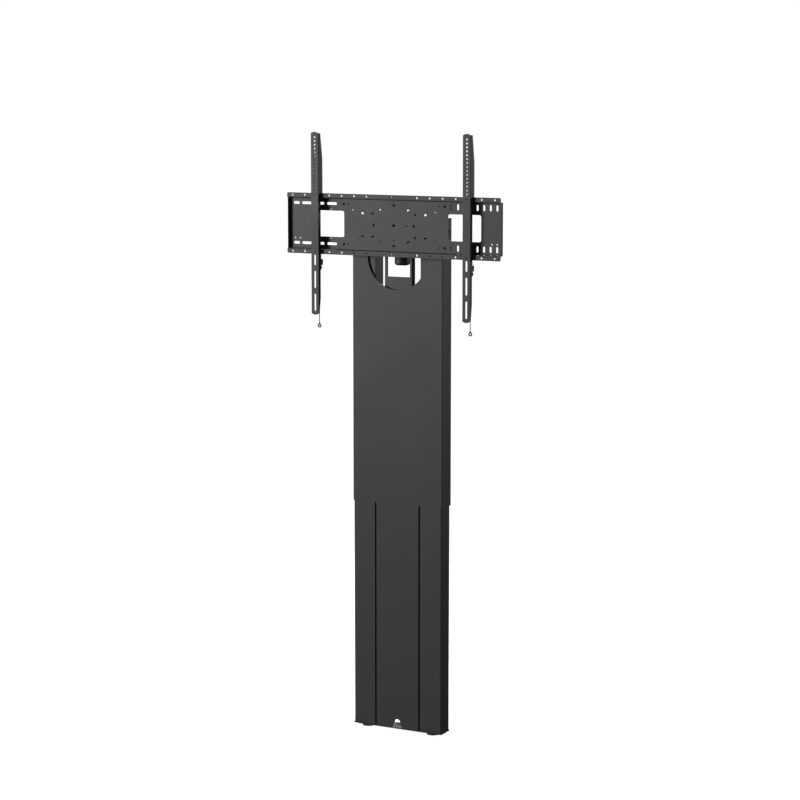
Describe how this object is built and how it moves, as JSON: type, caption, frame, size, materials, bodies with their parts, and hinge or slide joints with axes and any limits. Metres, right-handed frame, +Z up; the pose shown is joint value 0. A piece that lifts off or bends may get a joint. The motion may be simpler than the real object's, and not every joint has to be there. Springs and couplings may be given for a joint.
{
  "type": "motorized tv stand",
  "caption": "Tall motorised television stand: a fixed column on levelling feet, a rising covered head, a slotted mounting plate and hook-on arms with pull-cord latches.",
  "frame": {"origin": "on the floor, at the middle of the stand's width and depth", "axes": "+Z up, +Y towards the wall, so the front faces -Y, +X to the viewer's right"},
  "size_m": [0.845, 0.133, 2.1505],
  "materials": {
    "powder_black": "fine textured powder coat, satin",
    "powder_dark": "powder coat, matt",
    "rubber": "matt",
    "zinc": "bright zinc plate",
    "brass": "machined",
    "pale_plastic": "matt acetal",
    "black_plastic": "fine grained",
    "black_steel": "blackened",
    "alloy": "cast",
    "motor_black": "gloss black enamel",
    "spindle_steel": "rolled, oiled",
    "cord": "braided cord"
  },
  "bodies": {
    "column": {"base_plate": "powder_dark", "foot_nuts": "zinc", "column_left": "powder_black", "column_right": "powder_black", "centre_panel": "powder_black", "centre_frame_lower": "powder_dark", "centre_frame_upper": "powder_dark", "wall_bracket_lower": "powder_black", "wall_bracket_upper": "powder_black", "bracket_bolts": "zinc", "base_screws": "zinc", "nut_tube_left": "zinc", "nut_tube_right": "zinc", "spindle_nut_left": "brass", "spindle_nut_right": "brass", "column_glides_left": "pale_plastic", "column_glides_right": "pale_plastic", "control_box": "black_plastic", "power_inlet": "black_plastic"},
    "foot_left": {"foot_pad_left": "rubber", "foot_stud_left": "zinc"},
    "foot_right": {"foot_pad_right": "rubber", "foot_stud_right": "zinc"},
    "carriage": {"upper_cover": "powder_black", "cover_spacers": "zinc", "cover_screws": "black_steel", "post_left": "powder_black", "post_right": "powder_black", "post_glides_left": "pale_plastic", "post_glides_right": "pale_plastic", "head_beam": "powder_dark", "mast_channel": "powder_black", "gear_housing": "alloy", "motor": "motor_black", "bevel_box_left": "alloy", "bevel_box_right": "alloy", "carrier": "powder_dark", "carrier_bolts": "black_steel", "rail_upper": "powder_dark", "rail_lower": "powder_dark", "plate_spacers": "zinc", "plate_bolts": "black_steel", "tv_plate": "powder_black"},
    "spindle_l": {"spindle_left": "spindle_steel"},
    "spindle_r": {"spindle_right": "spindle_steel"},
    "cross_shaft": {"drive_shaft": "spindle_steel"},
    "arm_l": {"arm_left": "powder_black", "arm_pin_left": "black_steel", "latch_spring_left": "spindle_steel"},
    "arm_r": {"arm_right": "powder_black", "arm_pin_right": "black_steel", "latch_spring_right": "spindle_steel"},
    "latch_l": {"latch_left": "black_plastic", "pull_cord_left": "cord", "pull_ring_left": "black_plastic"},
    "latch_r": {"latch_right": "black_plastic", "pull_cord_right": "cord", "pull_ring_right": "black_plastic"}
  },
  "joints": [
    {"name": "lift", "type": "slide", "parent": "column", "child": "carriage", "axis": [0, 0, 1], "range_m": [-0.65, 0]},
    {"name": "spindle_left_turn", "type": "hinge", "parent": "carriage", "child": "spindle_l", "pos_m": [-0.1315, 0.0185, 1.2], "axis": [0, 0, 1], "range_deg": [-11702, 2]},
    {"name": "spindle_right_turn", "type": "hinge", "parent": "carriage", "child": "spindle_r", "pos_m": [0.1315, 0.0185, 1.2], "axis": [0, 0, 1], "range_deg": [-11702, 2]},
    {"name": "cross_shaft_turn", "type": "hinge", "parent": "carriage", "child": "cross_shaft", "pos_m": [0, 0.0185, 1.822], "axis": [1, 0, 0], "range_deg": [-11702, 2]},
    {"name": "foot_left_level", "type": "slide", "parent": "column", "child": "foot_left", "axis": [0, 0, 1], "range_m": [-0.012, 0.001]},
    {"name": "foot_right_level", "type": "slide", "parent": "column", "child": "foot_right", "axis": [0, 0, 1], "range_m": [-0.012, 0.001]},
    {"name": "arm_left_slide", "type": "slide", "parent": "carriage", "child": "arm_l", "axis": [1, 0, 0], "range_m": [-0.1, 0.2]},
    {"name": "arm_right_slide", "type": "slide", "parent": "carriage", "child": "arm_r", "axis": [1, 0, 0], "range_m": [-0.2, 0.1]},
    {"name": "latch_left_pull", "type": "slide", "parent": "arm_l", "child": "latch_l", "axis": [0, 0, 1], "range_m": [-0.012, 0], "stiffness_N_per_m": 600, "springref_m": 0.006, "deforming": ["latch_spring_left"]},
    {"name": "latch_right_pull", "type": "slide", "parent": "arm_r", "child": "latch_r", "axis": [0, 0, 1], "range_m": [-0.012, 0], "stiffness_N_per_m": 600, "springref_m": 0.006, "deforming": ["latch_spring_right"]}
  ],
  "couplings": [
    {"joint": "spindle_left_turn", "follows": "lift", "rad_per_m": 314.16},
    {"joint": "spindle_right_turn", "follows": "lift", "rad_per_m": 314.16},
    {"joint": "cross_shaft_turn", "follows": "lift", "rad_per_m": 314.16}
  ]
}
